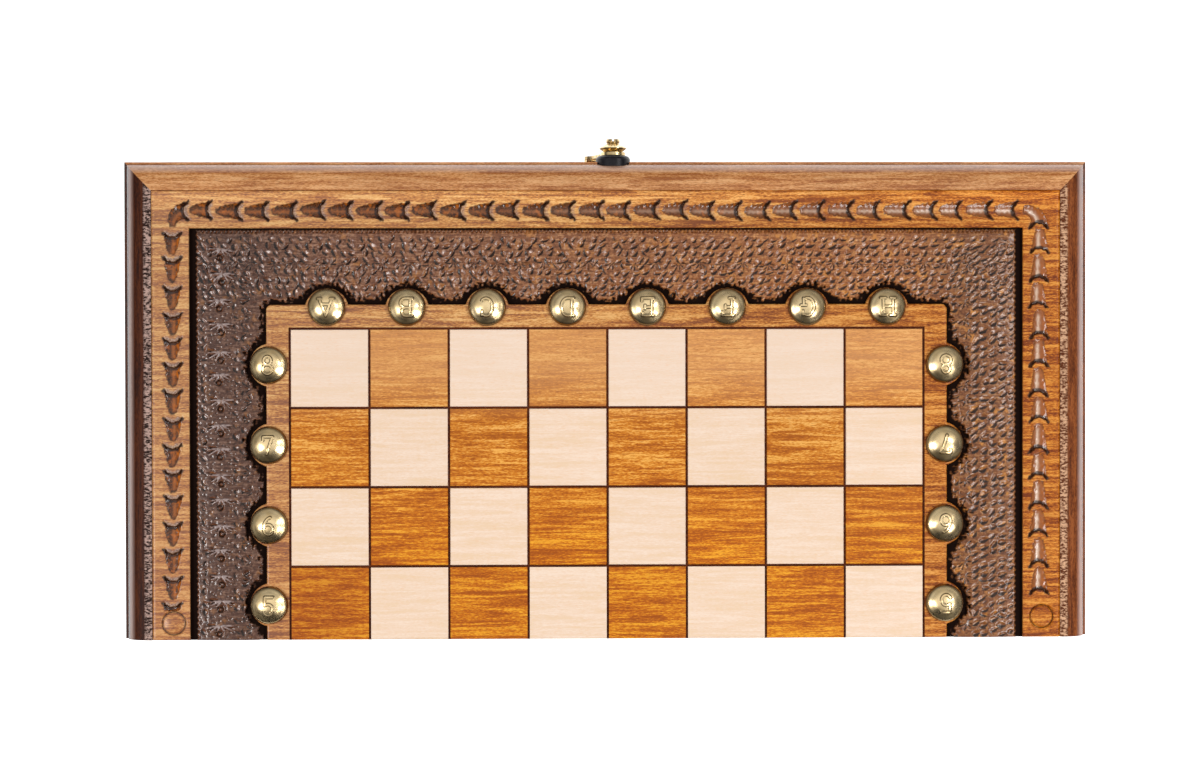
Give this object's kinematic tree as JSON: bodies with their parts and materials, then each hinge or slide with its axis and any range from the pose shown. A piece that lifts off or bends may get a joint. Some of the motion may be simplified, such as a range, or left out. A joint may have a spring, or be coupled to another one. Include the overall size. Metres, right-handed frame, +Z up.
{
  "type": "folding backgammon case",
  "caption": "Folding wooden game case: two hinged trays with carved outer faces, inlaid playing squares, domed brass studs and a swinging hook latch.",
  "frame": {"origin": "bottom centre of the closed case's outer box, on the plane that the lower studs' crowns rest on", "axes": "+X along the hinge line, +Y from the hinge to the latch, +Z up through the upper playing face"},
  "size_m": [0.5, 0.2618, 0.076],
  "materials": {
    "carved_board": "stained and varnished, carved border",
    "stained_rail": "stained and varnished",
    "pale_wood": "natural, satin varnish",
    "amber_wood": "stained, satin varnish",
    "pale_inlay": "natural, satin varnish",
    "dark_inlay": "stained dark, satin varnish",
    "stud_brass": "polished, embossed",
    "fitting_brass": "polished",
    "black_disc": "black, satin"
  },
  "bodies": {
    "lower_case": {"lower_face_panel": "carved_board", "lower_front_rail": "stained_rail", "lower_left_rail": "stained_rail", "lower_right_rail": "stained_rail", "lower_hinge_rail": "stained_rail", "lower_light_squares": "pale_wood", "lower_dark_squares": "amber_wood", "lower_letter_studs": "stud_brass", "lower_number_studs": "stud_brass", "lower_light_points": "pale_inlay", "lower_dark_points": "dark_inlay", "lower_hinge_screws": "fitting_brass", "left_hinge_lower_leaf": "fitting_brass", "left_hinge_pin": "fitting_brass", "right_hinge_lower_leaf": "fitting_brass", "right_hinge_pin": "fitting_brass", "catch_base": "fitting_brass", "catch_pin": "fitting_brass"},
    "upper_case": {"upper_face_panel": "carved_board", "upper_front_rail": "stained_rail", "upper_left_rail": "stained_rail", "upper_right_rail": "stained_rail", "upper_hinge_rail": "stained_rail", "upper_light_squares": "pale_wood", "upper_dark_squares": "amber_wood", "upper_letter_studs": "stud_brass", "upper_number_studs": "stud_brass", "upper_light_points": "pale_inlay", "upper_dark_points": "dark_inlay", "upper_hinge_screws": "fitting_brass", "left_hinge_upper_leaf": "fitting_brass", "right_hinge_upper_leaf": "fitting_brass", "latch_rosette": "black_disc", "latch_knob": "fitting_brass"},
    "latch_hook": {"latch_hook": "fitting_brass"}
  },
  "joints": [
    {"name": "lid_hinge", "type": "hinge", "parent": "lower_case", "child": "upper_case", "pos_m": [0, -0.1285, 0.038], "axis": [1, 0, 0], "range_deg": [0, 180]},
    {"name": "hook_swing", "type": "hinge", "parent": "upper_case", "child": "latch_hook", "pos_m": [0.0034, 0.1188, 0.0555], "axis": [0, 1, 0], "range_deg": [-23, 90]}
  ]
}
